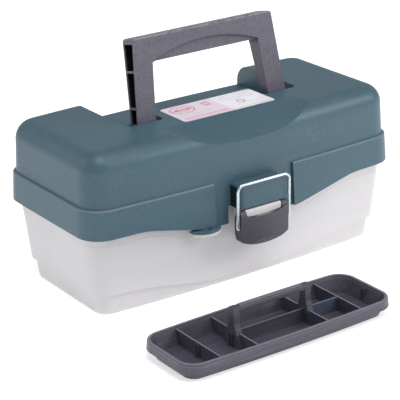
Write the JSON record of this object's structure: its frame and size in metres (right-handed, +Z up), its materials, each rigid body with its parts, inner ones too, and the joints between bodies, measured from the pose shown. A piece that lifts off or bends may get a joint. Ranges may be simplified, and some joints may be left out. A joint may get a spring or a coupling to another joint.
{
  "type": "fishing tackle box",
  "caption": "Moulded tackle box with a hinged lid, folding carry handle, draw latch, padlock ears and a separate compartment tray with its own grip.",
  "frame": {"origin": "centre of the tub's flat underside", "axes": "+X along the box's length to the right, -Y towards the latch, +Z up"},
  "size_m": [0.3496, 0.3135, 0.2337],
  "materials": {
    "tub_plastic": "fine satin moulding, off-white",
    "lid_plastic": "fine satin moulding, blue-green",
    "handle_plastic": "satin moulding, dark grey",
    "lever_plastic": "satin moulding, charcoal",
    "tray_plastic": "satin moulding, charcoal grey",
    "divider_plastic": "satin moulding, bluish charcoal",
    "label_film": "printed film",
    "pin_steel": "bright drawn steel",
    "bail_chrome": "bright plated wire"
  },
  "bodies": {
    "tub": {"base_tub": "tub_plastic", "hinge_pin_left": "pin_steel", "hinge_pin_right": "pin_steel", "latch_lever_pin": "pin_steel"},
    "lid": {"lid": "lid_plastic", "lid_label": "label_film", "handle_pin_left": "pin_steel", "handle_pin_right": "pin_steel"},
    "handle": {"carry_handle": "handle_plastic"},
    "lever": {"latch_lever": "lever_plastic"},
    "bail": {"latch_bail": "bail_chrome"},
    "tray": {"lift_out_tray": "tray_plastic"},
    "divider": {"tray_divider": "divider_plastic"}
  },
  "joints": [
    {"name": "lid_hinge", "type": "hinge", "parent": "tub", "child": "lid", "pos_m": [0, 0.0885, 0.08], "axis": [-1, 0, 0], "range_deg": [0, 110]},
    {"name": "handle_fold", "type": "hinge", "parent": "lid", "child": "handle", "pos_m": [0, -0.0156, 0.146], "axis": [-1, 0, 0], "range_deg": [0, 77]},
    {"name": "latch_lever_swing", "type": "hinge", "parent": "tub", "child": "lever", "pos_m": [0, -0.0936, 0.077], "axis": [-1, 0, 0], "range_deg": [0, 90]},
    {"name": "bail_swing", "type": "hinge", "parent": "lever", "child": "bail", "pos_m": [0, -0.0954, 0.0645], "axis": [1, 0, 0], "range_deg": [0, 104]},
    {"name": "tray_lift", "type": "slide", "parent": "tub", "child": "tray", "axis": [0, 0, 1], "range_m": [0, 0.15]},
    {"name": "divider_lift", "type": "slide", "parent": "tray", "child": "divider", "axis": [0, 0, 1], "range_m": [0, 0.03]}
  ],
  "couplings": [
    {"joint": "bail_swing", "follows": "latch_lever_swing", "ratio": 1.15}
  ]
}
